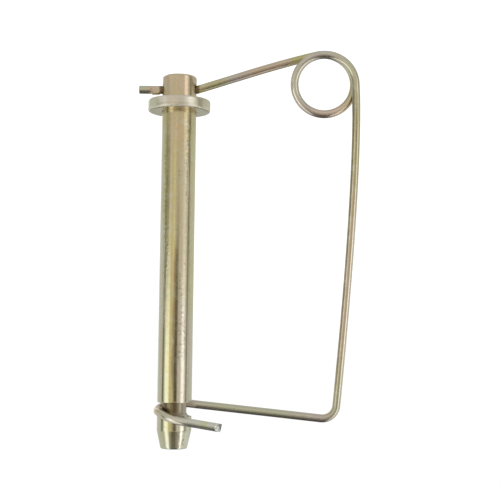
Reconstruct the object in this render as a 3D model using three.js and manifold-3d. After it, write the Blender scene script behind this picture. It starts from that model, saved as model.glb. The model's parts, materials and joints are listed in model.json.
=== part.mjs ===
// A hitch pin lock: a straight round pin with a pressed-on collar, and a spring wire that passes
// through the pin's head, makes one coil, runs down beside the shank and hooks round the pin's tip.
//
// Millimetres, +Z up. The origin is the centre of the collar's underside, on the pin's axis.
// +X points from the pin to the wire's long leg, and the hook's free tail passes on the -Y side.

import * as THREE from 'three';
import Module from 'manifold-3d';
import { mergeVertices } from 'three/addons/utils/BufferGeometryUtils.js';

// ---- driving dimensions ----

const shankRadius = 6.35;
const headTop = 13.35;
const headChamfer = 0.6;
const crossHoleHeight = 8.35;
const crossHoleRadius = 1.75;

const collarRadius = 11.55;
const collarHeight = 4.3;
const collarEdge = 0.6;
const collarGap = 0.1;

const grooveTop = -107.3;
const grooveBottom = -112.3;
const neckRadius = 4.45;
const grooveEdge = 0.3;
const taperTop = -117.4;
const tipBottom = -124.0;
const tipRadius = 4.85;
const tipEdge = 0.5;

const wireRadius = 1.5;
const stubEnd = -15.05;
const crimpStart = -10.9;
const crimpEnd = -7.0;
const crimpHeightScale = 1.22;
const crimpThicknessScale = 0.72;
// the press reaches its full depth when this share of the crimp's half length is past
const crimpRamp = 0.62;
const armBend = 6.0;
const armBendReach = 1.2;
const armRise = THREE.MathUtils.degToRad(18);
const armStraightEnd = 26;

const coilRadius = 11.2;
const coilCentre = new THREE.Vector3(53.72, 0, 11.24);
const coilPitch = 3.2;
// the coil's axis leans a little: its centre shifts this far for each mm towards -Y
const coilShift = new THREE.Vector3(0.11, -1, -0.25);
// angles go clockwise from the coil's top, as seen from -Y
const coilStart = THREE.MathUtils.degToRad(-14);
const coilEnd = THREE.MathUtils.degToRad(448.5);

// the leg leaves the coil and reaches its corner along two straight directions, and each
// hold is how far it keeps close to one of them
const legTopHold = 25;
const legTopBulge = 0.5;
const legLean = THREE.MathUtils.degToRad(5.45);
const legBottomHold = 43;
const legCorner = new THREE.Vector3(59.6, 9.5, -113.98);
const cornerRadius = 5.25;
const runRise = 0.0994;
const hookRadius = 9.5;
const hookLeft = -6.1;
// height of the wire's centre at every 30 degrees of the hook, from behind the pin to its front
const hookHeights = [-108.4, -108.6, -109.4, -110.4, -110.85, -112.3, -113.4];
const runEnd = 12.0;
const tailEnd = new THREE.Vector3(17.55, -9.5, -115.65);
// the hook's curve ends this share of the way along the tail, and the rest is straight
const tailBlend = 0.35;

const wireGap = 0.3;
const pinSegments = 48;
const holeSegments = 24;
const wireSides = 12;
const coilSteps = 48;
const legSteps = 24;
const cornerSteps = 8;
const hookSteps = 34;

// ---- curves ----

// A centreline made of stretches, each with its own number of steps, so that tight bends
// get short steps and straight stretches get long ones.
class SteppedPath extends THREE.Curve {
  constructor(stretches) {
    super();
    this.stretches = stretches;
    this.steps = stretches.reduce((sum, stretch) => sum + stretch.steps, 0);
  }

  find(u) {
    let step = u * this.steps;
    let index = 0;
    while (index < this.stretches.length - 1 && step > this.stretches[index].steps + 1e-6) {
      step -= this.stretches[index].steps;
      index += 1;
    }
    const { curve, steps } = this.stretches[index];
    return { curve, t: Math.min(step / steps, 1) };
  }

  getPointAt(u, target = new THREE.Vector3()) {
    const { curve, t } = this.find(u);
    return target.copy(curve.getPoint(t));
  }

  getTangentAt(u, target = new THREE.Vector3()) {
    const { curve, t } = this.find(u);
    return target.copy(curve.getTangent(t));
  }
}

// The coil's helix between two of its angles.
class CoilCurve extends THREE.Curve {
  constructor(from, to) {
    super();
    this.from = from;
    this.to = to;
  }

  getPoint(t, target = new THREE.Vector3()) {
    const angle = this.from + (this.to - this.from) * t;
    const forward = coilPitch * (angle - coilStart) / (2 * Math.PI);
    target.copy(coilCentre).addScaledVector(coilShift, forward);
    target.x += coilRadius * Math.sin(angle);
    target.z += coilRadius * Math.cos(angle);
    return target;
  }
}

// Two straight lines meeting at a corner, joined by a circular arc of the given radius.
function roundedCorner(before, corner, after, radius) {
  const towardsBefore = before.clone().sub(corner).normalize();
  const towardsAfter = after.clone().sub(corner).normalize();
  const halfAngle = towardsBefore.angleTo(towardsAfter) / 2;
  const reach = radius / Math.tan(halfAngle);
  const start = corner.clone().addScaledVector(towardsBefore, reach);
  const end = corner.clone().addScaledVector(towardsAfter, reach);
  const middle = towardsBefore.clone().add(towardsAfter).normalize();
  const centre = corner.clone().addScaledVector(middle, radius / Math.sin(halfAngle));
  const across = start.clone().sub(centre);
  const along = towardsBefore.clone().negate().multiplyScalar(radius);
  const sweep = Math.PI - 2 * halfAngle;
  const arc = new THREE.Curve();
  arc.getPoint = (t, target = new THREE.Vector3()) => target.copy(centre)
    .addScaledVector(across, Math.cos(sweep * t))
    .addScaledVector(along, Math.sin(sweep * t));
  return { start, arc, end };
}

// ---- solids ----

function ring(radius, sides) {
  const points = [];
  for (let i = 0; i < sides; i += 1) {
    const angle = 2 * Math.PI * i / sides;
    points.push(new THREE.Vector2(radius * Math.cos(angle), radius * Math.sin(angle)));
  }
  return points;
}

function wire(path, steps) {
  const section = new THREE.Shape(ring(wireRadius, wireSides));
  return new THREE.ExtrudeGeometry(section, { steps, extrudePath: path });
}

// Points of a circular arc in a turned profile, angles in degrees from the outward direction.
function profileArc(radius, centreRadius, centreHeight, fromDegrees, toDegrees, steps) {
  const points = [];
  for (let i = 0; i <= steps; i += 1) {
    const angle = THREE.MathUtils.degToRad(fromDegrees + (toDegrees - fromDegrees) * i / steps);
    const out = centreRadius + radius * Math.cos(angle);
    points.push(new THREE.Vector2(out, centreHeight + radius * Math.sin(angle)));
  }
  return points;
}

// A solid turned about the Z axis. The profile runs from the bottom to the top.
function turned(profile) {
  return new THREE.LatheGeometry(profile, pinSegments).rotateX(Math.PI / 2);
}

const wasm = await Module();
wasm.setup();

function toSolid(geometry) {
  const bare = geometry.clone();
  bare.deleteAttribute('normal');
  bare.deleteAttribute('uv');
  const merged = mergeVertices(bare, 1e-4);
  return new wasm.Manifold(new wasm.Mesh({
    numProp: 3,
    vertProperties: new Float32Array(merged.attributes.position.array),
    triVerts: new Uint32Array(merged.index.array),
  }));
}

function toGeometry(solid) {
  const mesh = solid.getMesh();
  const geometry = new THREE.BufferGeometry();
  geometry.setAttribute('position', new THREE.BufferAttribute(mesh.vertProperties, 3));
  geometry.setIndex(new THREE.BufferAttribute(mesh.triVerts, 1));
  geometry.computeVertexNormals();
  return geometry;
}

// ---- the pin: tip, groove, shank and head in one turned bar, with a cross hole ----

function makePin() {
  const lipFillet = shankRadius - neckRadius;
  const profile = [
    new THREE.Vector2(0, tipBottom),
    new THREE.Vector2(tipRadius - tipEdge, tipBottom),
    new THREE.Vector2(tipRadius, tipBottom + tipEdge),
    new THREE.Vector2(shankRadius, taperTop),
    new THREE.Vector2(shankRadius, grooveBottom - grooveEdge),
    ...profileArc(lipFillet, shankRadius, grooveBottom + lipFillet, 260, 180, 4),
    new THREE.Vector2(neckRadius, grooveTop),
    new THREE.Vector2(shankRadius - grooveEdge, grooveTop),
    new THREE.Vector2(shankRadius, grooveTop + grooveEdge),
    new THREE.Vector2(shankRadius, headTop - headChamfer),
    new THREE.Vector2(shankRadius - headChamfer, headTop),
    new THREE.Vector2(0, headTop),
  ];
  const drillLength = 4 * shankRadius;
  const drill = new THREE.CylinderGeometry(crossHoleRadius, crossHoleRadius, drillLength, holeSegments);
  drill.rotateZ(Math.PI / 2);
  drill.translate(0, 0, crossHoleHeight);
  return toGeometry(toSolid(turned(profile)).subtract(toSolid(drill)));
}

// ---- the collar: a ring with rounded outer edges ----

function makeCollar() {
  const bore = shankRadius + collarGap;
  const edgeCentre = collarRadius - collarEdge;
  return turned([
    new THREE.Vector2(bore, 0),
    ...profileArc(collarEdge, edgeCentre, collarEdge, -90, 0, 3),
    ...profileArc(collarEdge, edgeCentre, collarHeight - collarEdge, 0, 90, 3),
    new THREE.Vector2(bore, collarHeight),
    new THREE.Vector2(bore, 0),
  ]);
}

// ---- the spring wire ----

// The crimp beside the head: the wire is pressed flat there, so that it can't slip back
// through the cross hole.
function crimp(geometry) {
  const position = geometry.attributes.position;
  const middle = (crimpStart + crimpEnd) / 2;
  const half = (crimpEnd - crimpStart) / 2;
  for (let i = 0; i < position.count; i += 1) {
    const offset = Math.abs(position.getX(i) - middle) / half;
    const press = THREE.MathUtils.smoothstep(1 - offset, 0, crimpRamp);
    const height = position.getZ(i) - crossHoleHeight;
    position.setY(i, position.getY(i) * (1 + (crimpThicknessScale - 1) * press));
    position.setZ(i, crossHoleHeight + height * (1 + (crimpHeightScale - 1) * press));
  }
  return geometry;
}

// The cut end, the crimp, the stretch through the pin's head, and the arm that rises to the coil.
function makeAnchorArm() {
  const onAxis = (x) => new THREE.Vector3(x, 0, crossHoleHeight);
  const coil = new CoilCurve(coilStart, coilEnd);
  const armEnd = coil.getPoint(0);
  const coilSlope = Math.tan(-coilStart);
  const rise = Math.tan(armRise);
  const bend = onAxis(armBend);
  const onArm = (x) => new THREE.Vector3(x, 0, crossHoleHeight + rise * (x - armBend));
  // the arm's two end tangents cross here
  const crossing = (armEnd.z - crossHoleHeight + rise * armBend - coilSlope * armEnd.x)
    / (rise - coilSlope);
  const control = onArm(crossing);
  const holeEnd = onAxis(armBend - armBendReach);
  const bendEnd = onArm(armBend + armBendReach * Math.cos(armRise));
  const straightEnd = onArm(armStraightEnd);
  const trimmedEnd = armEnd.clone().addScaledVector(armEnd.clone().sub(control).normalize(), -wireGap);
  const path = new SteppedPath([
    { curve: new THREE.LineCurve3(onAxis(stubEnd), onAxis(crimpStart)), steps: 1 },
    { curve: new THREE.LineCurve3(onAxis(crimpStart), onAxis(crimpEnd)), steps: 10 },
    { curve: new THREE.LineCurve3(onAxis(crimpEnd), holeEnd), steps: 2 },
    { curve: new THREE.QuadraticBezierCurve3(holeEnd, bend, bendEnd), steps: 3 },
    { curve: new THREE.LineCurve3(bendEnd, straightEnd), steps: 3 },
    { curve: new THREE.QuadraticBezierCurve3(straightEnd, control, trimmedEnd), steps: 6 },
  ]);
  return crimp(wire(path, path.steps));
}

function makeCoil() {
  return wire(new CoilCurve(coilStart, coilEnd), coilSteps);
}

// Height of the bottom run's centreline, which rises from the corner towards the pin.
function runHeight(x) {
  return legCorner.z + runRise * (legCorner.x - x);
}

// The long leg, its bottom corner and the run back to the pin.
function makeLeg() {
  const coil = new CoilCurve(coilStart, coilEnd);
  const leaving = coil.getTangent(1);
  const top = coil.getPoint(1).addScaledVector(leaving, wireGap);
  const runStop = new THREE.Vector3(runEnd, legCorner.y, runHeight(runEnd));
  const legDirection = new THREE.Vector3(Math.sin(legLean), 0, Math.cos(legLean));
  const above = legCorner.clone().addScaledVector(legDirection, legBottomHold);
  const corner = roundedCorner(above, legCorner, runStop, cornerRadius);
  const upperControl = top.clone().addScaledVector(leaving, legTopHold);
  upperControl.x += legTopBulge;
  const lowerControl = corner.start.clone().addScaledVector(legDirection, legBottomHold);
  const path = new SteppedPath([
    { curve: new THREE.CubicBezierCurve3(top, upperControl, lowerControl, corner.start), steps: legSteps },
    { curve: corner.arc, steps: cornerSteps },
    { curve: new THREE.LineCurve3(corner.end, runStop), steps: 4 },
  ]);
  return wire(path, path.steps);
}

// The hook: behind the pin, round its far side in the groove, and across its front as a free tail.
function makeHook() {
  const hookCentre = hookLeft + hookRadius;
  const start = runEnd - wireGap;
  const points = [start, (start + hookCentre) / 2].map(
    (x) => new THREE.Vector3(x, hookRadius, runHeight(x)),
  );
  hookHeights.forEach((height, i) => {
    const angle = Math.PI * (i / (hookHeights.length - 1) - 0.5);
    const x = hookCentre - hookRadius * Math.cos(angle);
    points.push(new THREE.Vector3(x, -hookRadius * Math.sin(angle), height));
  });
  const front = points[points.length - 1];
  points.push(front.clone().lerp(tailEnd, tailBlend), tailEnd);
  return wire(new THREE.CatmullRomCurve3(points, false, 'centripetal'), hookSteps);
}

// ---- the assembly ----

const zincGold = { color: 0xb5a06e, metalness: 1.0, roughness: 0.3 };
const zincTan = { color: 0xb39c78, metalness: 1.0, roughness: 0.32 };
const zincPale = { color: 0xbdb7aa, metalness: 1.0, roughness: 0.35 };

function add(group, name, geometry, look) {
  const mesh = new THREE.Mesh(geometry, new THREE.MeshStandardMaterial(look));
  mesh.name = name;
  group.add(mesh);
}

const lock = new THREE.Group();
add(lock, 'pin', makePin(), zincGold);
add(lock, 'collar', makeCollar(), zincPale);
const springWire = new THREE.Group();
add(springWire, 'wire_anchor_arm', makeAnchorArm(), zincTan);
add(springWire, 'wire_coil', makeCoil(), zincTan);
add(springWire, 'wire_leg', makeLeg(), zincTan);
add(springWire, 'wire_hook', makeHook(), zincTan);
lock.add(springWire);

export default lock;
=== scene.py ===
import json
import math

import bmesh
import bpy
from mathutils import Matrix, Vector


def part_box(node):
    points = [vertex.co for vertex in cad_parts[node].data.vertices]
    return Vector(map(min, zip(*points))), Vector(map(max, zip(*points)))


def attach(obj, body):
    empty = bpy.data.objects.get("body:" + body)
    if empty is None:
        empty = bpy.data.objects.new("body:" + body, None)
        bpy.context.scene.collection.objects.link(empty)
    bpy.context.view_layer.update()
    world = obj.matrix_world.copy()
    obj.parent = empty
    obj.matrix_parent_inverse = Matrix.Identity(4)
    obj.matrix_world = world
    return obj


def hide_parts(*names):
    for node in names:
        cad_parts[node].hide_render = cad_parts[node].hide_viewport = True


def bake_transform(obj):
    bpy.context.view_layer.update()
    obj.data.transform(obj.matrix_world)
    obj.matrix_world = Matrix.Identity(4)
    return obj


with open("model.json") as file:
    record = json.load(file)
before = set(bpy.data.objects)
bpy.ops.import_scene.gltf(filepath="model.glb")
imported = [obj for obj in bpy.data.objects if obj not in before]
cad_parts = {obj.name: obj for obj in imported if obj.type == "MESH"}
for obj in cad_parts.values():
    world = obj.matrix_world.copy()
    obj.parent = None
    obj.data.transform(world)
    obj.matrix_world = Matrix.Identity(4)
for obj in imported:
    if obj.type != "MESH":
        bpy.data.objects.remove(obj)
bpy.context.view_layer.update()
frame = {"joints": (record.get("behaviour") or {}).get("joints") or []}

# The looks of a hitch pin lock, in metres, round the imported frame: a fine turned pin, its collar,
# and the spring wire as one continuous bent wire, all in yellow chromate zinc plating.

MM = 0.001


# ---- sizes and places ----

joint_at = {joint["name"]: Vector(joint["pos_m"]) for joint in frame["joints"]}
pin_low, pin_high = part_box("pin")
collar_low, collar_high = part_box("collar")

SHANK_RADIUS = pin_high.x
HEAD_TOP = pin_high.z
TIP_BOTTOM = pin_low.z
COLLAR_RADIUS = collar_high.x
COLLAR_TOP = collar_high.z
COLLAR_BOTTOM = collar_low.z
CROSS_HOLE_HEIGHT = joint_at["clip_swing"].z

HEAD_CHAMFER = 0.6 * MM
HEAD_EDGE = 0.3 * MM
COLLAR_EDGE = 0.75 * MM
COLLAR_BORE_EDGE = COLLAR_EDGE / 4
COLLAR_GAP = 0.1 * MM
GROOVE_TOP = -107.3 * MM
GROOVE_BOTTOM = -112.3 * MM
NECK_RADIUS = 4.45 * MM
GROOVE_EDGE = 0.25 * MM
GROOVE_FILLET = 0.85 * (SHANK_RADIUS - NECK_RADIUS)
NECK_CORNER = 0.3 * MM
TAPER_TOP = -117.4 * MM
TAPER_EDGE = 1.5 * MM
TIP_RADIUS = 4.85 * MM
TIP_EDGE = 0.55 * MM
END_FACE_RADIUS = 0.5 * TIP_RADIUS
CROSS_HOLE_RADIUS = 1.75 * MM
CROSS_HOLE_EDGE = 0.25 * MM

WIRE_RADIUS = 1.5 * MM
WIRE_END_EDGE = 0.15 * MM
STUB_END = -15.05 * MM
CRIMP_START = -10.6 * MM
CRIMP_END = -7.2 * MM
CRIMP_RAMP = 0.55 * MM
CRIMP_HALF_THICKNESS = 1.08 * MM
CRIMP_HEIGHT_SCALE = 1.12
CRIMP_DROP = 0.18 * MM
ARM_BEND = 6.0 * MM
ARM_BEND_REACH = 1.2 * MM
ARM_RISE = math.radians(18)
ARM_STRAIGHT_END = 26 * MM

COIL_RADIUS = 11.2 * MM
COIL_CENTRE = Vector((53.72, 0, 11.24)) * MM
COIL_PITCH = 3.2 * MM
# where the coil goes as it turns, for each length of its pitch
COIL_SHIFT = Vector((0.11, -1, -0.25))
COIL_START = math.radians(-14)
COIL_END = math.radians(448.5)

# how far the leg's curve is pulled along the coil's end at its top, and along its lean at its bottom
LEG_TOP_HOLD = 25 * MM
LEG_TOP_BULGE = 0.5 * MM
LEG_LEAN = math.radians(5.45)
LEG_BOTTOM_HOLD = 43 * MM
LEG_CORNER = Vector((59.6, 9.5, -113.98)) * MM
CORNER_RADIUS = 5.25 * MM
RUN_RISE = 0.0994
RUN_END = 12 * MM
HOOK_RADIUS = 9.5 * MM
HOOK_LEFT = -6.1 * MM
# the hook's heights at even steps round the pin, from behind it to its front
HOOK_HEIGHTS = [mm * MM for mm in (-108.4, -108.6, -109.4, -110.4, -110.85, -112.3, -113.4)]
TAIL_END = Vector((17.55, -9.5, -115.65)) * MM
TAIL_BLEND = 0.35
TAIL_CUT_ANGLE = math.radians(50)
TAIL_RIDGE = 0.5 * MM

PIN_SEGMENTS = 144
HOLE_SEGMENTS = 64
WIRE_SIDES = 32
ROUNDING_STEPS = 6
LEAST_CURVE_STEPS = 4
PIN_RING_SPACING = 0.8 * MM
WIRE_RING_SPACING = 0.5 * MM
TOLERANCE = 0.01 * MM
TANGENT_STEP = 1e-4
# edges that turn by more degrees than this stay sharp
PIN_SHARP_ANGLE = 32
COLLAR_SHARP_ANGLE = 40
WIRE_SHARP_ANGLE = 34

CAMERA_PLACE = Vector((0.02702, -0.3875, -0.07696))
CAMERA_PITCH = math.radians(3.81)
CAMERA_ROLL = math.radians(0.70)
CAMERA_LENS = 75.6
CAMERA_SENSOR = 36
CAMERA_NEAR = 0.01
CAMERA_FAR = 50
FLOOR_DROP = 0.035
FLOOR_SIZE = 8.0
FLOOR_TINT = (0.9, 0.9, 0.9)


# ---- the camera and the floor ----

def make_camera():
    """A long lens a little below the middle of the pin, tilted up, with a slight roll."""
    data = bpy.data.cameras.new("camera")
    data.lens = CAMERA_LENS
    data.sensor_width = CAMERA_SENSOR
    data.clip_start = CAMERA_NEAR
    data.clip_end = CAMERA_FAR
    camera = bpy.data.objects.new("camera", data)
    bpy.context.scene.collection.objects.link(camera)
    bpy.context.scene.camera = camera
    upright = Matrix.Rotation(math.radians(90) + CAMERA_PITCH, 4, "X")
    roll = Matrix.Rotation(CAMERA_ROLL, 4, "Z")
    camera.matrix_world = Matrix.Translation(CAMERA_PLACE) @ upright @ roll


def make_floor():
    """A plain pale floor under the tip. It isn't mirrored in the metal, which shows the studio."""
    half = FLOOR_SIZE / 2
    height = TIP_BOTTOM - FLOOR_DROP
    mesh = bpy.data.meshes.new("floor")
    corners = [(-half, -half, height), (half, -half, height), (half, half, height), (-half, half, height)]
    mesh.from_pydata(corners, [], [(0, 1, 2, 3)])
    floor = bpy.data.objects.new("floor", mesh)
    bpy.context.scene.collection.objects.link(floor)
    material = bpy.data.materials.new("floor")
    material.use_nodes = True
    shader = material.node_tree.nodes["Principled BSDF"]
    shader.inputs["Base Color"].default_value = (*FLOOR_TINT, 1)
    shader.inputs["Roughness"].default_value = 1.0
    shader.inputs["Specular IOR Level"].default_value = 0.0
    mesh.materials.append(material)
    floor.visible_glossy = False


# ---- shader graph helpers ----

class Graph:
    """Short forms for building a node tree."""

    def __init__(self, tree):
        self.nodes = tree.nodes
        self.links = tree.links

    def plug(self, socket, value):
        if isinstance(value, bpy.types.NodeSocket):
            self.links.new(value, socket)
        else:
            socket.default_value = value

    def parts(self, vector):
        """The three numbers of a vector."""
        node = self.nodes.new("ShaderNodeSeparateXYZ")
        self.links.new(vector, node.inputs[0])
        return node.outputs

    def math(self, operation, *values):
        node = self.nodes.new("ShaderNodeMath")
        node.operation = operation
        for socket, value in zip(node.inputs, values):
            self.plug(socket, value)
        return node.outputs[0]

    def plus(self, first, second):
        return self.math("ADD", first, second)

    def minus(self, first, second):
        return self.math("SUBTRACT", first, second)

    def size(self, value):
        """A value without its sign."""
        return self.math("ABSOLUTE", value)

    def larger(self, first, second):
        return self.math("MAXIMUM", first, second)

    def times(self, first, *others):
        """The product of its values."""
        product = first
        for other in others:
            product = self.math("MULTIPLY", product, other)
        return product

    def ramp(self, value, none, full):
        """A smooth step from 0 at none to 1 at full, whichever of the two is the higher."""
        node = self.nodes.new("ShaderNodeMapRange")
        node.interpolation_type = "SMOOTHSTEP"
        self.plug(node.inputs["Value"], value)
        node.inputs["From Min"].default_value = none
        node.inputs["From Max"].default_value = full
        return node.outputs["Result"]

    def band(self, value, low, high, soft):
        """1 between low and high, 0 outside, with a smooth step as wide as soft on each edge."""
        above = self.ramp(value, low - soft / 2, low + soft / 2)
        below = self.ramp(value, high + soft / 2, high - soft / 2)
        return self.times(above, below)

    def spread(self, value, low, high):
        """A 0 to 1 value stretched to low to high."""
        node = self.nodes.new("ShaderNodeMapRange")
        self.plug(node.inputs["Value"], value)
        node.inputs["To Min"].default_value = low
        node.inputs["To Max"].default_value = high
        return node.outputs["Result"]

    def mix(self, factor, first, second):
        """The first colour where the factor is 0, and the second where it is 1."""
        # sockets 6 and 7 and output 2 are the node's colours: the others are its numbers and vectors
        node = self.nodes.new("ShaderNodeMix")
        node.data_type = "RGBA"
        self.plug(node.inputs[0], factor)
        for socket, colour in ((node.inputs[6], first), (node.inputs[7], second)):
            self.plug(socket, colour if isinstance(colour, bpy.types.NodeSocket) else (*colour, 1))
        return node.outputs[2]

    def tinted(self, tint, colour, place, strength):
        """The tint, changed by the strength towards a colour in the places that are marked 1."""
        return self.mix(self.times(place, strength), tint, colour)

    def noise(self, vector, scale, detail=2.0, roughness=0.5):
        node = self.nodes.new("ShaderNodeTexNoise")
        self.plug(node.inputs["Vector"], vector)
        node.inputs["Scale"].default_value = scale
        node.inputs["Detail"].default_value = detail
        node.inputs["Roughness"].default_value = roughness
        return node.outputs["Fac"]

    def scaled(self, vector, factors, offset=(0, 0, 0)):
        node = self.nodes.new("ShaderNodeMapping")
        self.plug(node.inputs["Vector"], vector)
        node.inputs["Scale"].default_value = factors
        node.inputs["Location"].default_value = offset
        return node.outputs["Vector"]

    def colours(self, factor, stops):
        """A colour ramp through its (place, colour) stops, 32 at the most."""
        node = self.nodes.new("ShaderNodeValToRGB")
        self.plug(node.inputs["Fac"], factor)
        elements = node.color_ramp.elements
        while len(elements) < len(stops):
            elements.new(0.5)  # anywhere, until it gets its place below
        for element, (place, colour) in zip(elements, stops):
            element.position = place
            element.color = (*colour, 1)
        return node.outputs["Color"]

    def bump(self, height, depth, strength, normal=None):
        node = self.nodes.new("ShaderNodeBump")
        self.plug(node.inputs["Height"], height)
        node.inputs["Distance"].default_value = depth
        node.inputs["Strength"].default_value = strength
        if normal is not None:
            self.plug(node.inputs["Normal"], normal)
        return node.outputs["Normal"]


# ---- the studio ----

STUDIO_BASE = (0.66, 0.67, 0.61)
# What the metal mirrors, each row painted over the rows before it: azimuth and half width in degrees,
# softness, lowest and highest elevation, softness, light.
STUDIO = {
    "upper sides": (0, 180, 1, 11, 60, 3, (0.54, 0.55, 0.50)),
    "front room": (0, 46, 18, -91, 60, 12, (0.66, 0.63, 0.56)),
    "below front": (0, 60, 40, -91, -31, 38, (0.12, 0.115, 0.11)),
    "below rear": (180, 30, 24, -91, -20, 12, (0.06, 0.055, 0.055)),
    "nadir": (0, 180, 1, -91, -72, 18, (0.08, 0.075, 0.075)),
    "front glow": (-17, 5, 8, 1, 10.5, 3, (0.86, 0.78, 0.61)),
    "tip shade": (2, 20, 16, -38, -22, 10, (0.20, 0.18, 0.14)),
    "front post": (8, 10, 8, -10, 3.5, 8, (0.12, 0.10, 0.07)),
    "left shade": (-70, 17, 10, 1, 11, 3, (0.29, 0.28, 0.21)),
    "left screen": (-51, 14, 10, -64, 1.5, 6, (1.42, 1.42, 1.34)),
    "head left glow": (-60, 16, 14, 11, 24, 3, (0.72, 0.69, 0.64)),
    "head right glow": (50, 11, 10, 11, 24, 3, (1.36, 1.27, 1.18)),
    "right glow": (55, 12, 10, -10, 11, 3, (0.82, 0.79, 0.74)),
    "right screen": (56, 11, 9, -64, 1, 6, (1.52, 1.49, 1.43)),
    "left dark": (-83, 7, 10, -22, 1.5, 6, (0.12, 0.12, 0.095)),
    "right dark": (84, 6, 12, -22, 40, 12, (0.20, 0.195, 0.15)),
    "rear left screen": (-154, 11, 8, -12, 40, 12, (0.95, 0.95, 0.90)),
    "overhead": (0, 180, 1, 62, 91, 16, (0.58, 0.58, 0.56)),
}
# what the camera and the floor see instead
BACKDROP = (1.15, 1.15, 1.15)
# keeps the azimuth's division from failing straight up and straight down
LEAST_LEVEL = 1e-4


def make_studio():
    """A light tent: white to the camera and the floor, soft screens and dark gaps to the metal."""
    world = bpy.data.worlds.new("studio")
    bpy.context.scene.world = world
    world.use_nodes = True
    world.cycles.sampling_method = "NONE"
    graph = Graph(world.node_tree)
    x, y, z = graph.parts(graph.nodes.new("ShaderNodeTexCoord").outputs["Generated"])
    elevation = graph.math("ARCSINE", z)
    level = graph.math("SQRT", graph.plus(graph.times(x, x), graph.times(y, y)))
    level = graph.larger(level, LEAST_LEVEL)
    light = STUDIO_BASE
    for azimuth, half, soft, lowest, highest, rise, colour in STUDIO.values():
        towards = math.radians(azimuth)
        along = graph.plus(graph.times(x, math.sin(towards)), graph.times(y, -math.cos(towards)))
        cosine = graph.math("DIVIDE", along, level)
        cosine = graph.math("MINIMUM", graph.larger(cosine, -1.0), 1.0)
        away = graph.math("ARCCOSINE", cosine)
        beside = graph.ramp(away, math.radians(half + soft / 2), math.radians(half - soft / 2))
        limits = [math.radians(angle) for angle in (lowest, highest, rise)]
        light = graph.mix(graph.times(beside, graph.band(elevation, *limits)), light, colour)
    path = graph.nodes.new("ShaderNodeLightPath")
    seen = graph.mix(path.outputs["Is Glossy Ray"], BACKDROP, light)
    graph.plug(graph.nodes["Background"].inputs["Color"], seen)


# ---- mesh helpers ----

def circle(count):
    """The cosine and sine of even steps round a circle."""
    angles = [2 * math.pi * k / count for k in range(count)]
    return [(math.cos(angle), math.sin(angle)) for angle in angles]


def mesh_object(name, vertices, faces):
    """An object in the scene with its faces turned outwards."""
    mesh = bpy.data.meshes.new(name)
    mesh.from_pydata([tuple(v) for v in vertices], [], faces)
    work = bmesh.new()
    work.from_mesh(mesh)
    bmesh.ops.recalc_face_normals(work, faces=work.faces)
    work.to_mesh(mesh)
    work.free()
    thing = bpy.data.objects.new(name, mesh)
    bpy.context.scene.collection.objects.link(thing)
    return thing


def skin(name, rings, closed=False, last_cap=None):
    """A surface through rings of points: flat caps at both ends, or the last joined to the first.

    last_cap gives the last end's faces, as corner numbers round its ring, when one isn't enough.
    """
    sides = len(rings[0])
    vertices = [point for ring in rings for point in ring]
    count = len(rings)
    faces = []
    for i in range(count if closed else count - 1):
        a, b = i * sides, (i + 1) % count * sides
        for k in range(sides):
            n = (k + 1) % sides
            faces.append((a + k, a + n, b + n, b + k))
    if not closed:
        faces.append(tuple(range(sides)))
        start = (count - 1) * sides
        for cap in last_cap or [range(sides)]:
            faces.append(tuple(start + corner for corner in cap))
    return mesh_object(name, vertices, faces)


def smooth(thing, sharp_angle):
    """Smooth shading, except at edges that turn by more than sharp_angle degrees."""
    thing.data.shade_smooth()
    thing.data.set_sharp_from_angle(angle=math.radians(sharp_angle))


def rounded(corners):
    """A turned profile through (radius, height, edge radius) corners, with round edges."""
    points = []
    for i, (radius, height, edge) in enumerate(corners):
        corner = Vector((radius, height))
        if edge == 0:
            points.append(corner)
            continue
        before = Vector(corners[i - 1][:2]) - corner
        after = Vector(corners[(i + 1) % len(corners)][:2]) - corner
        before.normalize()
        after.normalize()
        half = before.angle(after) / 2
        start = corner + before * (edge / math.tan(half))
        end = corner + after * (edge / math.tan(half))
        centre = corner + (before + after).normalized() * (edge / math.sin(half))
        from_centre, to_centre = start - centre, end - centre
        turn = from_centre.angle(to_centre)
        for k in range(ROUNDING_STEPS + 1):
            share = k / ROUNDING_STEPS
            first = math.sin((1 - share) * turn) / math.sin(turn)
            second = math.sin(share * turn) / math.sin(turn)
            points.append(centre + from_centre * first + to_centre * second)
    return points


def divided(points, spacing):
    """The same outline with its long stretches cut into steps no longer than spacing."""
    result = [points[0]]
    for a, b in zip(points, points[1:]):
        steps = max(1, math.ceil((b - a).length / spacing))
        result.extend(a.lerp(b, k / steps) for k in range(1, steps + 1))
    return result


def turned(name, profile, closed=False):
    """A solid turned about the Z axis from its (radius, height) profile."""
    rings = [
        [Vector((radius * cosine, radius * sine, height)) for cosine, sine in circle(PIN_SEGMENTS)]
        for radius, height in profile
    ]
    return skin(name, rings, closed)


# ---- the pin ----

def make_cross_hole():
    """The cutter of the cross hole: a bar along X that flares a little where it leaves the head."""
    flare_end = SHANK_RADIUS + CROSS_HOLE_EDGE
    flare_start = SHANK_RADIUS - 2 * CROSS_HOLE_EDGE
    flared = CROSS_HOLE_RADIUS + 2 * CROSS_HOLE_EDGE
    outline = [
        (-flare_end, flared), (-flare_start, CROSS_HOLE_RADIUS),
        (flare_start, CROSS_HOLE_RADIUS), (flare_end, flared),
    ]
    rings = []
    for x, radius in outline:
        rings.append([
            Vector((x, radius * cosine, CROSS_HOLE_HEIGHT + radius * sine))
            for cosine, sine in circle(HOLE_SEGMENTS)
        ])
    return skin("cross_hole", rings)


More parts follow.
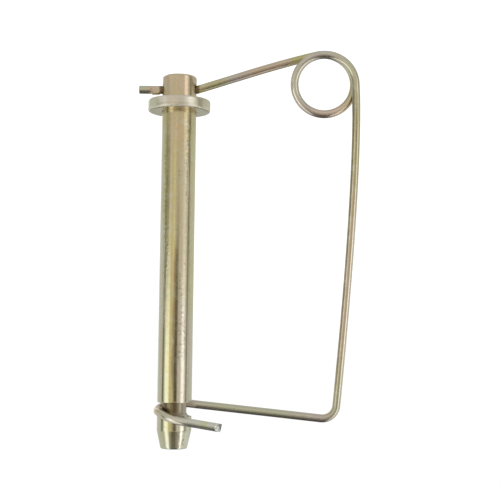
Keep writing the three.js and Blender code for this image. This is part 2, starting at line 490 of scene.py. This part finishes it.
def make_pin():
    """The pin, turned from its tip to its head and then drilled."""
    profile = rounded([
        (END_FACE_RADIUS, TIP_BOTTOM, 0),
        (TIP_RADIUS, TIP_BOTTOM, TIP_EDGE),
        (SHANK_RADIUS, TAPER_TOP, TAPER_EDGE),
        (SHANK_RADIUS, GROOVE_BOTTOM, GROOVE_EDGE),
        (SHANK_RADIUS - GROOVE_EDGE, GROOVE_BOTTOM, 0),
        (NECK_RADIUS, GROOVE_BOTTOM, GROOVE_FILLET),
        (NECK_RADIUS, GROOVE_TOP, NECK_CORNER),
        (SHANK_RADIUS, GROOVE_TOP, GROOVE_EDGE),
        (SHANK_RADIUS, HEAD_TOP - HEAD_CHAMFER, HEAD_EDGE),
        (SHANK_RADIUS - HEAD_CHAMFER, HEAD_TOP, HEAD_EDGE),
        (END_FACE_RADIUS, HEAD_TOP, 0),
    ])
    pin = turned("lock_pin", divided(profile, PIN_RING_SPACING))
    cutter = make_cross_hole()
    cut = pin.modifiers.new("cross hole", "BOOLEAN")
    cut.object = cutter
    cut.operation = "DIFFERENCE"
    cut.solver = "EXACT"
    bpy.context.view_layer.update()
    drilled = pin.evaluated_get(bpy.context.evaluated_depsgraph_get())
    mesh = bpy.data.meshes.new_from_object(drilled)
    pin.modifiers.clear()
    pin.data = mesh
    bpy.data.objects.remove(cutter)
    smooth(pin, PIN_SHARP_ANGLE)
    return pin


# ---- the collar ----

def make_collar():
    """A plain ring with worn edges, which fits closely round the pin."""
    bore = SHANK_RADIUS + COLLAR_GAP
    profile = rounded([
        (bore, COLLAR_BOTTOM, COLLAR_BORE_EDGE),
        (COLLAR_RADIUS, COLLAR_BOTTOM, COLLAR_EDGE),
        (COLLAR_RADIUS, COLLAR_TOP, COLLAR_EDGE),
        (bore, COLLAR_TOP, COLLAR_BORE_EDGE),
    ])
    collar = turned("stop_collar", divided(profile, PIN_RING_SPACING), closed=True)
    smooth(collar, COLLAR_SHARP_ANGLE)
    return collar


# ---- the spring wire ----

# the wire's attribute that holds where each of its points is on the straightened wire
GRAIN = "grain"


def straight(a, b):
    """Points from a towards b, without b itself."""
    steps = max(1, math.ceil((b - a).length / WIRE_RING_SPACING))
    return [a.lerp(b, k / steps) for k in range(steps)]


def curved(point_at, length):
    """Points along a curve, given by a share of it from 0 to 1, without its last point."""
    steps = max(LEAST_CURVE_STEPS, math.ceil(length / WIRE_RING_SPACING))
    return [point_at(k / steps) for k in range(steps)]


def bezier(*controls):
    """Points of a Bezier curve: its controls are blended in pairs until one point is left."""
    def point_at(t):
        points = list(controls)
        while len(points) > 1:
            points = [a.lerp(b, t) for a, b in zip(points, points[1:])]
        return points[0]
    return curved(point_at, sum((b - a).length for a, b in zip(controls, controls[1:])))


def coil_point(angle):
    """The coil's centre line at an angle from its top, clockwise from the front."""
    forward = COIL_PITCH * (angle - COIL_START) / (2 * math.pi)
    turn = Vector((math.sin(angle), 0, math.cos(angle)))
    return COIL_CENTRE + COIL_SHIFT * forward + turn * COIL_RADIUS


def coil_tangent(angle):
    """The direction of the coil's centre line at an angle."""
    return (coil_point(angle + TANGENT_STEP) - coil_point(angle - TANGENT_STEP)).normalized()


def rounded_corner(before, corner, after, radius):
    """The arc that joins two straight lines at a corner: its start, its points and its end."""
    towards_before = (before - corner).normalized()
    towards_after = (after - corner).normalized()
    half = towards_before.angle(towards_after) / 2
    reach = radius / math.tan(half)
    start = corner + towards_before * reach
    end = corner + towards_after * reach
    centre = corner + (towards_before + towards_after).normalized() * (radius / math.sin(half))
    sweep = math.pi - 2 * half

    def point_at(t):
        across = (start - centre) * math.cos(sweep * t)
        return centre + across - towards_before * (radius * math.sin(sweep * t))
    return start, curved(point_at, sweep * radius), end


def through(points):
    """A smooth curve through points: a centripetal Catmull-Rom spline."""
    first = points[0] * 2 - points[1]
    last = points[-1] * 2 - points[-2]
    padded = [first, *points, last]
    result = []
    for p0, p1, p2, p3 in zip(padded, padded[1:], padded[2:], padded[3:]):
        # centripetal: a span takes the root of its length in time
        t1 = (p1 - p0).length ** 0.5
        t2 = t1 + (p2 - p1).length ** 0.5
        t3 = t2 + (p3 - p2).length ** 0.5

        def point_at(share, p0=p0, p1=p1, p2=p2, p3=p3, t1=t1, t2=t2, t3=t3):
            t = t1 + (t2 - t1) * share
            a1 = p0.lerp(p1, t / t1)
            a2 = p1.lerp(p2, (t - t1) / (t2 - t1))
            a3 = p2.lerp(p3, (t - t2) / (t3 - t2))
            b1 = a1.lerp(a2, t / t2)
            b2 = a2.lerp(a3, (t - t1) / (t3 - t1))
            return b1.lerp(b2, (t - t1) / (t2 - t1))
        result.extend(curved(point_at, (p2 - p1).length))
    result.append(points[-1])
    return result


def run_height(x):
    """The height of the run's centre line, which rises from the corner towards the pin."""
    return LEG_CORNER.z + RUN_RISE * (LEG_CORNER.x - x)


def arm_line():
    """From the cut end through the pin's head, and up the arm to the coil."""
    rise, slope = math.tan(ARM_RISE), math.tan(-COIL_START)
    hole_end = Vector((ARM_BEND - ARM_BEND_REACH, 0, CROSS_HOLE_HEIGHT))
    bend = Vector((ARM_BEND, 0, CROSS_HOLE_HEIGHT))

    def on_arm(x):
        return Vector((x, 0, CROSS_HOLE_HEIGHT + rise * (x - ARM_BEND)))
    bend_end = on_arm(ARM_BEND + ARM_BEND_REACH * math.cos(ARM_RISE))
    straight_end = on_arm(ARM_STRAIGHT_END)
    arm_end = coil_point(COIL_START)
    crossing = (arm_end.z - bend.z + rise * ARM_BEND - slope * arm_end.x) / (rise - slope)
    return [
        *straight(Vector((STUB_END, 0, CROSS_HOLE_HEIGHT)), hole_end),
        *bezier(hole_end, bend, bend_end),
        *straight(bend_end, straight_end),
        *bezier(straight_end, on_arm(crossing), arm_end),
    ]


def coil_line():
    """Round the coil, from the arm to the top of the leg."""
    sweep = COIL_END - COIL_START
    return curved(lambda t: coil_point(COIL_START + sweep * t), sweep * COIL_RADIUS)


def leg_line():
    """Down the long leg, round its corner and along the run to behind the pin."""
    top = coil_point(COIL_END)
    run_stop = Vector((RUN_END, LEG_CORNER.y, run_height(RUN_END)))
    lean = Vector((math.sin(LEG_LEAN), 0, math.cos(LEG_LEAN)))
    above = LEG_CORNER + lean * LEG_BOTTOM_HOLD
    corner_start, corner, corner_end = rounded_corner(above, LEG_CORNER, run_stop, CORNER_RADIUS)
    upper = top + coil_tangent(COIL_END) * LEG_TOP_HOLD + Vector((LEG_TOP_BULGE, 0, 0))
    lower = corner_start + lean * LEG_BOTTOM_HOLD
    return [
        *bezier(top, upper, lower, corner_start),
        *corner,
        *straight(corner_end, run_stop),
    ]


def hook_line():
    """Behind the pin, round its far side in the groove, and across its front to the tail's end."""
    centre = HOOK_LEFT + HOOK_RADIUS
    points = [Vector((x, HOOK_RADIUS, run_height(x))) for x in (RUN_END, (RUN_END + centre) / 2)]
    for i, height in enumerate(HOOK_HEIGHTS):
        angle = math.pi * (i / (len(HOOK_HEIGHTS) - 1) - 0.5)
        x = centre - HOOK_RADIUS * math.cos(angle)
        points.append(Vector((x, -HOOK_RADIUS * math.sin(angle), height)))
    points.append(points[-1].lerp(TAIL_END, TAIL_BLEND))
    points.append(TAIL_END)
    return through(points)


def crimped(point):
    """Where the crimp beside the head moves a point of the wire's surface.

    It is pressed flat at the front and back, which makes it taller, and a little lower.
    """
    inwards = min(point.x - CRIMP_START, CRIMP_END - point.x) / CRIMP_RAMP
    share = min(max(inwards, 0.0), 1.0)
    press = share * share * (3 - 2 * share)
    if press == 0 or abs(point.z - CROSS_HOLE_HEIGHT) > 2 * WIRE_RADIUS:
        return point
    half = WIRE_RADIUS + (CRIMP_HALF_THICKNESS - WIRE_RADIUS) * press
    taller = 1 + (CRIMP_HEIGHT_SCALE - 1) * press
    height = (point.z - CROSS_HOLE_HEIGHT) * taller - CRIMP_DROP * press
    return Vector((point.x, min(max(point.y, -half), half), CROSS_HOLE_HEIGHT + height))


def wire_rings(line):
    """Rings round the line, each turned from the last by the least twist, and their grain.

    A point's grain is its place on the wire's round section and its distance along the wire.
    """
    normal = Vector((0, 1, 0))
    rings, grain = [], []
    travelled = 0.0
    for i, centre in enumerate(line):
        before = line[max(i - 1, 0)]
        after = line[min(i + 1, len(line) - 1)]
        tangent = (after - before).normalized()
        normal = (normal - tangent * normal.dot(tangent)).normalized()
        side = tangent.cross(normal)
        travelled += (centre - before).length
        ring = []
        for cosine, sine in circle(WIRE_SIDES):
            round_y, round_z = WIRE_RADIUS * cosine, WIRE_RADIUS * sine
            ring.append(crimped(centre + normal * round_y + side * round_z))
            grain.append((round_y, round_z, travelled))
        rings.append(ring)
    return rings, grain


def bevelled_end(ring, centre, outwards):
    """A slightly smaller ring pushed outwards, for the worn edge of a cut end."""
    share = 1 - WIRE_END_EDGE / WIRE_RADIUS
    return [centre + (point - centre) * share + outwards * WIRE_END_EDGE for point in ring]


def two_caps(front_of_ridge):
    """The ring's corners in two faces: those marked as in front of the ridge, and the others."""
    sides = len(front_of_ridge)
    first = next(k for k in range(sides) if front_of_ridge[k] and not front_of_ridge[k - 1])
    order = [(first + k) % sides for k in range(sides)]
    front_count = sum(front_of_ridge)
    return [order[:front_count], order[front_count - 1:] + [order[0]]]


def make_wire():
    """The whole wire as one skin. Its tail is cut on two slopes that meet in a ridge."""
    line = arm_line() + coil_line() + leg_line() + hook_line()
    tail_direction = (line[-1] - line[-2]).normalized()
    slope = math.tan(TAIL_CUT_ANGLE)
    # the slopes reach back along the wire, so no ring may be in their way
    clear = (WIRE_RADIUS + TAIL_RIDGE) * slope + WIRE_RING_SPACING
    line = [point for point in line[:-1] if (point - TAIL_END).length > clear] + [line[-1]]
    rings, grain = wire_rings(line)
    behind = [point.y - TAIL_END.y for point in rings[-1]]
    ridge = min(behind, key=lambda depth: abs(depth - TAIL_RIDGE))
    rings[-1] = [
        point - tail_direction * abs(depth - ridge) * slope
        for point, depth in zip(rings[-1], behind)
    ]
    tail_centre = sum(rings[-1], Vector()) / WIRE_SIDES
    tail_edge = bevelled_end(rings[-1], tail_centre, tail_direction)
    inwards = Vector((WIRE_END_EDGE, 0, 0))
    rings[0] = [point + inwards for point in rings[0]]
    stub_edge = bevelled_end(rings[0], line[0] + inwards, Vector((-1, 0, 0)))
    rings = [stub_edge, *rings, tail_edge]
    grain = grain[:WIRE_SIDES] + grain + grain[-WIRE_SIDES:]
    front_of_ridge = [depth <= ridge + TOLERANCE for depth in behind]
    wire = skin("spring_wire", rings, last_cap=two_caps(front_of_ridge))
    attribute = wire.data.attributes.new(GRAIN, "FLOAT_VECTOR", "POINT")
    attribute.data.foreach_set("vector", [number for row in grain for number in row])
    smooth(wire, WIRE_SHARP_ANGLE)
    return wire


# ---- the plating ----

# Tints of the chromate film, from olive through gold and pink to almost bare zinc.
OLIVE = (0.62, 0.58, 0.36)
GOLD = (0.69, 0.58, 0.33)
BRONZE = (0.63, 0.52, 0.35)
TAN = (0.70, 0.58, 0.42)
PINK = (0.73, 0.57, 0.46)
ROSE = (0.85, 0.68, 0.57)
LILAC = (0.67, 0.60, 0.57)
GREEN = (0.60, 0.61, 0.43)
MOSS = (0.61, 0.58, 0.27)
SAGE = (0.65, 0.66, 0.52)
PALE = (0.76, 0.74, 0.66)
GREY = (0.79, 0.81, 0.77)
WHITISH = (0.88, 0.85, 0.74)
BROWN = (0.45, 0.40, 0.26)
STAIN = (0.30, 0.25, 0.14)
# painted shade: the dark tint mixed into the film in the groove and round the cross hole
PAINTED_SHADE = (0.16, 0.115, 0.07)

# height on the pin in mm, and the film's tint there
PIN_FILM = [
    (-124, SAGE), (-106, (0.66, 0.64, 0.47)), (-60, (0.68, 0.62, 0.41)), (-6, (0.69, 0.60, 0.36)),
    (3, (0.70, 0.60, 0.38)), (7, (0.74, 0.60, 0.43)), (13, (0.75, 0.61, 0.44)),
]
# long streaks of the film down the pin's front, in mm: x from and to, height from and to, tint, share
PIN_STREAKS = [
    (-5.0, -3.5, -62, -2, (0.56, 0.56, 0.31), 0.80),
    (-2.6, 1.6, -15, -3, (0.79, 0.60, 0.41), 0.75),
    (-2.8, -0.3, -50, -14, (0.73, 0.66, 0.36), 0.65),
    (-4.4, -2.2, -119, -46, (0.71, 0.69, 0.50), 0.80),
    (-2.4, 0.0, -119, -46, (0.74, 0.66, 0.33), 0.90),
    (-1.3, -0.7, -72, -56, (0.82, 0.52, 0.36), 0.55),
    (-0.6, 0.8, -119, -52, (0.34, 0.27, 0.14), 0.80),
    (1.1, 5.0, -74, -16, (0.75, 0.68, 0.56), 0.45),
    (1.1, 5.0, -119, -68, (0.75, 0.69, 0.61), 0.80),
    (2.6, 5.4, -126, -117, (0.86, 0.84, 0.74), 0.90),
    (5.0, 7.0, -72, -4, (0.67, 0.67, 0.42), 0.75),
    (5.2, 7.0, -119, -76, (0.71, 0.66, 0.62), 0.85),
    (-7.0, -5.4, -46, -4, (0.72, 0.68, 0.65), 0.90),
    (-7.0, -5.0, -119, -42, (0.72, 0.70, 0.66), 0.90),
]
# rough places with small scars, in mm: x from and to, height from and to
PIN_SCARS = [
    (-4.7, -3.3, -62, -8),
    (2.9, 4.3, -36, -4),
    (1.8, 3.6, -92, -56),
    (-4.0, -2.8, -78, -50),
    (1.6, 4.2, -125, -117.5),
]
# painted highlights: the pale stretches of the collar's edge, in mm: x from and to
COLLAR_HIGHLIGHTS = [(-7.0, -4.2), (2.8, 5.2)]
# distance along the wire in mm from its cut end, and the film's tint there
WIRE_FILM = [
    (0, SAGE), (3, SAGE), (6, PINK), (9, BRONZE), (20, GOLD), (29, OLIVE), (37, LILAC), (47, PINK),
    (55, PINK), (61, MOSS), (68, OLIVE), (76, LILAC), (90, OLIVE), (102, ROSE), (114, LILAC),
    (124, PALE), (140, LILAC), (152, SAGE), (168, OLIVE), (186, OLIVE), (215, TAN), (238, PINK),
    (262, TAN), (274, GREEN), (288, LILAC), (300, SAGE), (326, SAGE), (341, LILAC), (354, PINK),
    (366, PALE), (372, GREY), (383, GREY),
]
# patches on the wire, in mm: distance from and to, softness of the ends, the place across the wire
# where there is none and where it is full, share, tint; the last one goes all the way round
WIRE_PATCHES = [
    # painted shade: the leg's inner side darkened along most of its length
    (158, 274, 14, 0.3, -0.5, 0.90, (0.34, 0.30, 0.215)),
    (205, 276, 30, 0.6, 1.1, 0.80, (0.86, 0.80, 0.72)),
    (375.4, 378.2, 1.2, -3, -2, 0.60, (0.70, 0.78, 0.45)),
]

# the scale of each noise: the higher it is, the finer the marks
PATCH_SCALE = 140
RUN_SCALE = 420
CLOUD_SCALE = 300
STREAK_SCALE = 1400
PIT_SCALE = 1500
RIPPLE_SCALE = 500
SCAR_SCALE = 1050
WEAR_SCALE = 260
WAVE_SCALE = 330
PIN_WANDER_SCALE = 90
COLLAR_PATCH_SCALE = 60
WIRE_WANDER_SCALE = 150
CUT_MARK_SCALE = 1100
CLOUD_OFFSET = (0.31, 0.17, 0.05)

# how far each kind of mark is squeezed (above 1) or stretched (below 1) along three axes
PIN_GRAIN = (1, 1, 1 / 16)
COLLAR_GRAIN = (0.1, 0.1, 2.2)
WIRE_GRAIN = (1.4, 1.4, 1 / 20)
CUT_GRAIN = (1, 2, 0.8)

# the noise values where each mark starts and where it is full
PITTED = (0.66, 0.74)
RIPPLED = (0.36, 0.50)
DARK_SCARRED = (0.55, 0.63)
LIGHT_SCARRED = (0.45, 0.37)
CUT_DARKENED = (0.46, 0.60)
COLLAR_YELLOWED = (0.45, 0.70)

# how strong each mark is in the tint and in the roughness
STREAK_SHARE = 0.16
DARK_SCAR_SHARE = 0.6
LIGHT_SCAR_SHARE = 0.7
SMOOTHER = 0.05
ROUGHER = 0.07
PIT_ROUGHNESS = 0.3

# how deep each mark is, and how much of that the light shows
WAVE_DEPTH = 0.04 * MM
WAVE_STRENGTH = 0.45
RIPPLE_DEPTH = 0.08 * MM
STREAK_DEPTH = 0.008 * MM
STREAK_STRENGTH = 0.5
PIT_DEPTH = 0.02 * MM
PIT_STRENGTH = 0.7
CUT_DEPTH = 0.05 * MM
CUT_STRENGTH = 0.6

CUT_ROUGHNESS = 0.38
CUT_LIGHT = (0.80, 0.83, 0.80)
CUT_DARK = (0.22, 0.23, 0.22)


def new_metal(name):
    """A new metal material, its graph and its shader."""
    material = bpy.data.materials.new(name)
    material.use_nodes = True
    graph = Graph(material.node_tree)
    shader = graph.nodes["Principled BSDF"]
    shader.inputs["Metallic"].default_value = 1.0
    return material, graph, shader


def object_place(graph):
    """The shaded point, in the piece's own coordinates."""
    return graph.nodes.new("ShaderNodeTexCoord").outputs["Object"]


def wire_place(graph):
    """The shaded point on the straightened wire: two places across it and one along it."""
    node = graph.nodes.new("ShaderNodeAttribute")
    node.attribute_name = GRAIN
    return node.outputs["Vector"]


def plated(name, film, grain_vector, roughness, pitting, rippling):
    """Yellow chromate zinc: patchy rainbow tint, long fine grain, ripples, pits and scars.

    The film gives its tint, its share of painted shade, its extra roughness and its share of scars.
    """
    material, graph, shader = new_metal(name)
    place = object_place(graph)
    grain_place = grain_vector(graph, place)
    tint, painted_shade, extra_roughness, scarred = film(graph, place)

    patches = graph.noise(place, PATCH_SCALE, detail=3.0, roughness=0.55)
    runs = graph.noise(grain_place, RUN_SCALE)
    clouds = graph.noise(graph.scaled(place, (1, 1, 1), CLOUD_OFFSET), CLOUD_SCALE, detail=3.0)
    # a noise, its values where the hue starts and where it is full, the share, the hue
    hues = [
        (patches, 0.55, 0.75, 0.30, PINK),
        (patches, 0.45, 0.25, 0.40, GREEN),
        (runs, 0.56, 0.70, 0.45, PINK),
        (runs, 0.44, 0.30, 0.50, OLIVE),
        (clouds, 0.50, 0.80, 0.50, PALE),
    ]
    for noise, none, full, share, hue in hues:
        tint = graph.tinted(tint, hue, graph.ramp(noise, none, full), share)

    streaks = graph.noise(grain_place, STREAK_SCALE, detail=4.0, roughness=0.6)
    tint = graph.mix(graph.spread(streaks, 0.0, STREAK_SHARE), tint, BROWN)
    pits = graph.ramp(graph.noise(place, PIT_SCALE), *PITTED)
    tint = graph.tinted(tint, STAIN, pits, pitting)
    ripples = graph.ramp(graph.noise(grain_place, RIPPLE_SCALE, detail=1.0), *RIPPLED)
    rough_places = graph.times(ripples, scarred)
    scars = graph.noise(place, SCAR_SCALE)
    dark_scars = graph.times(graph.ramp(scars, *DARK_SCARRED), rough_places)
    tint = graph.tinted(tint, STAIN, dark_scars, DARK_SCAR_SHARE * rippling)
    light_scars = graph.times(graph.ramp(scars, *LIGHT_SCARRED), rough_places)
    tint = graph.tinted(tint, WHITISH, light_scars, LIGHT_SCAR_SHARE * rippling)
    # painted shade: the film's share of it darkens the tint towards the dark shade colour
    graph.plug(shader.inputs["Base Color"], graph.mix(painted_shade, tint, PAINTED_SHADE))

    wear = graph.noise(place, WEAR_SCALE, detail=3.0)
    uneven = graph.spread(wear, roughness - SMOOTHER, roughness + ROUGHER)
    uneven = graph.plus(uneven, graph.times(pits, PIT_ROUGHNESS * pitting))
    graph.plug(shader.inputs["Roughness"], graph.plus(uneven, extra_roughness))

    normal = graph.bump(graph.noise(place, WAVE_SCALE, detail=1.0), WAVE_DEPTH, WAVE_STRENGTH)
    normal = graph.bump(graph.times(scars, rough_places), RIPPLE_DEPTH, rippling, normal)
    normal = graph.bump(streaks, STREAK_DEPTH, STREAK_STRENGTH, normal)
    normal = graph.bump(graph.minus(1.0, pits), PIT_DEPTH, PIT_STRENGTH * pitting, normal)
    graph.plug(shader.inputs["Normal"], normal)
    return material


def lengthwise(graph, place):
    """Grain along the pin."""
    return graph.scaled(place, PIN_GRAIN)


def round_and_round(graph, place):
    """Turning marks round the collar."""
    return graph.scaled(place, COLLAR_GRAIN)


def along_wire(graph, _):
    """Drawing marks along the wire, wherever it bends."""
    return graph.scaled(wire_place(graph), WIRE_GRAIN)


FILM_STRAY = 7 * MM


def film_along(graph, distance, wander, film):
    """The film's tint along a distance, with patch edges that wander."""
    low, high = film[0][0] * MM, film[-1][0] * MM
    strayed = graph.plus(distance, graph.spread(wander, -FILM_STRAY, FILM_STRAY))
    share = graph.math("DIVIDE", graph.minus(strayed, low), high - low)
    stops = [((at * MM - low) / (high - low), tint) for at, tint in film]
    return graph.colours(share, stops)


# where the painted shade by the cross hole starts and where it is full, above or below the hole's line,
# and outside and inside the head's side
PAINTED_SHADE_FROM_LINE = (2.3 * MM, 1.4 * MM)
PAINTED_SHADE_OUTSIDE = (SHANK_RADIUS + 1.6 * MM, SHANK_RADIUS + 0.5 * MM)
PAINTED_SHADE_INSIDE = (SHANK_RADIUS - 1.0 * MM, SHANK_RADIUS - 0.3 * MM)
PAINTED_SHADE_SHARE = 0.9


def shade_by_the_hole(graph, place):
    """Painted shade, dark brown, on the pin and the wire where the wire enters the head."""
    x, _, z = graph.parts(place)
    close = graph.ramp(graph.size(graph.minus(z, CROSS_HOLE_HEIGHT)), *PAINTED_SHADE_FROM_LINE)
    outside = graph.ramp(graph.size(x), *PAINTED_SHADE_OUTSIDE)
    inside = graph.ramp(graph.size(x), *PAINTED_SHADE_INSIDE)
    return graph.times(close, outside, inside, PAINTED_SHADE_SHARE)


# how far the edges of the pin's streaks and scarred places wander, and how soft they are
STRAY_ACROSS = 0.8 * MM
STRAY_ALONG = 9 * MM
SIDES_SOFTNESS = 0.9 * MM
STREAK_ENDS_SOFTNESS = 12 * MM
SCAR_ENDS_SOFTNESS = 6 * MM
LEAST_SCARS = 0.15

# where the groove's painted shade and extra roughness start and where they are full, over its lip and
# under its top
GROOVE_SHADE_OVER_LIP = (GROOVE_BOTTOM - 0.1 * MM, GROOVE_BOTTOM + 0.9 * MM)
GROOVE_SHADE_UNDER_TOP = (GROOVE_TOP + 0.1 * MM, GROOVE_TOP - 0.3 * MM)
GROOVE_SHADE_EASED = (1.5 * MM, 3.5 * MM)
GROOVE_SHADE_EASED_SHARE = 0.6
GROOVE_SHADE_SHARE = 0.8
GROOVE_ROUGHNESS = 0.16


def pin_film(graph, place):
    """Gold at the head and paler to the tip, with long streaks, painted shade in the groove, which is
    also rougher, and painted shade round the cross hole.
    """
    x, _, height = graph.parts(place)
    wander = graph.noise(place, PIN_WANDER_SCALE)
    tint = film_along(graph, height, wander, PIN_FILM)
    strayed_x = graph.plus(x, graph.spread(wander, -STRAY_ACROSS, STRAY_ACROSS))
    strayed_height = graph.plus(height, graph.spread(wander, -STRAY_ALONG, STRAY_ALONG))

    def stretch(left, right, low, high, ends_softness):
        """1 on a stretch of the pin, given in mm, whose edges wander."""
        across = graph.band(strayed_x, left * MM, right * MM, SIDES_SOFTNESS)
        return graph.times(across, graph.band(strayed_height, low * MM, high * MM, ends_softness))

    for *edges, streak, share in PIN_STREAKS:
        tint = graph.tinted(tint, streak, stretch(*edges, STREAK_ENDS_SOFTNESS), share)
    scarred = LEAST_SCARS
    for edges in PIN_SCARS:
        scarred = graph.larger(scarred, stretch(*edges, SCAR_ENDS_SOFTNESS))

    # painted shade in the groove, less of it towards the right; the same mask makes the groove rougher
    in_groove = graph.times(graph.ramp(height, *GROOVE_SHADE_OVER_LIP), graph.ramp(height, *GROOVE_SHADE_UNDER_TOP))
    eased = graph.times(graph.ramp(x, *GROOVE_SHADE_EASED), GROOVE_SHADE_EASED_SHARE)
    groove_shade_and_roughness = graph.times(in_groove, graph.minus(1.0, eased))
    painted_shade = graph.larger(graph.times(groove_shade_and_roughness, GROOVE_SHADE_SHARE), shade_by_the_hole(graph, place))
    return tint, painted_shade, graph.times(groove_shade_and_roughness, GROOVE_ROUGHNESS), scarred


COLLAR_PINK = (0.84, 0.745, 0.70)
COLLAR_YELLOW = (0.80, 0.775, 0.66)
COLLAR_GREEN = (0.76, 0.77, 0.58)
# the tint of the painted highlights on the collar
COLLAR_HIGHLIGHT_TINT = (0.97, 0.935, 0.89)
COLLAR_WORN = (0.90, 0.86, 0.76)
COLLAR_DARK = (0.62, 0.58, 0.44)
# the middle of the collar's front, and how far to its sides the green starts and is full
COLLAR_MIDDLE = 0.5 * MM
COLLAR_GREENED = (5 * MM, 9 * MM)
COLLAR_GREEN_SHARE = 0.7
COLLAR_HIGHLIGHTS_SOFTNESS = 1.6 * MM
COLLAR_HIGHLIGHTS_SHARE = 0.85
# where each look starts and where it is full, as heights above the collar's underside
COLLAR_WORN_EDGE = (0.9 * MM, 0.3 * MM)
COLLAR_WORN_SHARE = 0.8
COLLAR_ABOVE_FACE = (0.02 * MM, 0.06 * MM)
COLLAR_ON_FACE = (0.04 * MM, 0.01 * MM)
COLLAR_EDGE_ROUGHNESS = 0.35
COLLAR_SCARS = 0.3


def collar_film(graph, place):
    """A thin pinkish film, greener at the sides, with painted highlights in pale bands, a worn lower edge
    and a dark underside.
    """
    x, _, z = graph.parts(place)
    patches = graph.ramp(graph.noise(place, COLLAR_PATCH_SCALE), *COLLAR_YELLOWED)
    tint = graph.mix(patches, COLLAR_PINK, COLLAR_YELLOW)
    greened = graph.ramp(graph.size(graph.minus(x, COLLAR_MIDDLE)), *COLLAR_GREENED)
    tint = graph.tinted(tint, COLLAR_GREEN, greened, COLLAR_GREEN_SHARE)
    # painted highlights: pale bands at fixed places across the collar's front
    for left, right in COLLAR_HIGHLIGHTS:
        pale = graph.band(x, left * MM, right * MM, COLLAR_HIGHLIGHTS_SOFTNESS)
        tint = graph.tinted(tint, COLLAR_HIGHLIGHT_TINT, pale, COLLAR_HIGHLIGHTS_SHARE)
    height = graph.minus(z, COLLAR_BOTTOM)
    worn = graph.ramp(height, *COLLAR_WORN_EDGE)
    tint = graph.tinted(tint, COLLAR_WORN, worn, COLLAR_WORN_SHARE)
    tint = graph.mix(graph.ramp(height, *COLLAR_ON_FACE), tint, COLLAR_DARK)
    worn_edge = graph.times(worn, graph.ramp(height, *COLLAR_ABOVE_FACE))
    return tint, 0.0, graph.times(worn_edge, COLLAR_EDGE_ROUGHNESS), COLLAR_SCARS


WIRE_SCARS = 0.3


def wire_film(graph, place):
    """Bands of every tint, as the bent wire hung in the plating bath, three patches, the first of them
    painted shade on the leg's inner side, and painted shade where it enters the head.
    """
    _, across, travelled = graph.parts(wire_place(graph))
    tint = film_along(graph, travelled, graph.noise(place, WIRE_WANDER_SCALE), WIRE_FILM)
    for low, high, soft, none, full, share, colour in WIRE_PATCHES:
        along = graph.band(travelled, low * MM, high * MM, soft * MM)
        patch = graph.times(graph.ramp(across, none * MM, full * MM), along)
        tint = graph.tinted(tint, colour, patch, share)
    return tint, shade_by_the_hole(graph, place), 0.0, WIRE_SCARS


def bare_cut():
    """Bare steel where the wire was cut, with the cutter's marks."""
    material, graph, shader = new_metal("bare cut")
    marks = graph.noise(graph.scaled(object_place(graph), CUT_GRAIN), CUT_MARK_SCALE, detail=3.0)
    tint = graph.mix(graph.ramp(marks, *CUT_DARKENED), CUT_LIGHT, CUT_DARK)
    graph.plug(shader.inputs["Base Color"], tint)
    graph.plug(shader.inputs["Roughness"], CUT_ROUGHNESS)
    graph.plug(shader.inputs["Normal"], graph.bump(marks, CUT_DEPTH, CUT_STRENGTH))
    return material


def finish_piece(piece, material):
    """Give a piece its one material."""
    piece.data.materials.clear()
    piece.data.materials.append(material)


# ---- the assembly ----

make_camera()
make_floor()
make_studio()

pin = make_pin()
pin_plating = plated("pin plating", pin_film, lengthwise, roughness=0.16, pitting=0.65, rippling=0.7)
finish_piece(pin, pin_plating)
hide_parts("pin")
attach(pin, "pin_body")

collar = make_collar()
collar_plating = plated(
    "collar plating", collar_film, round_and_round, roughness=0.26, pitting=0.5, rippling=0.3)
finish_piece(collar, collar_plating)
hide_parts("collar")
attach(collar, "pin_body")

wire = make_wire()
wire_plating = plated("wire plating", wire_film, along_wire, roughness=0.22, pitting=0.15, rippling=0.15)
finish_piece(wire, wire_plating)
# the cut ends are the only faces with more than four corners
wire.data.materials.append(bare_cut())
for face in wire.data.polygons:
    if len(face.vertices) > 4:
        face.material_index = 1
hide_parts("wire_anchor_arm", "wire_coil", "wire_leg", "wire_hook")
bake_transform(wire)

bpy.context.scene.view_settings.view_transform = "Standard"
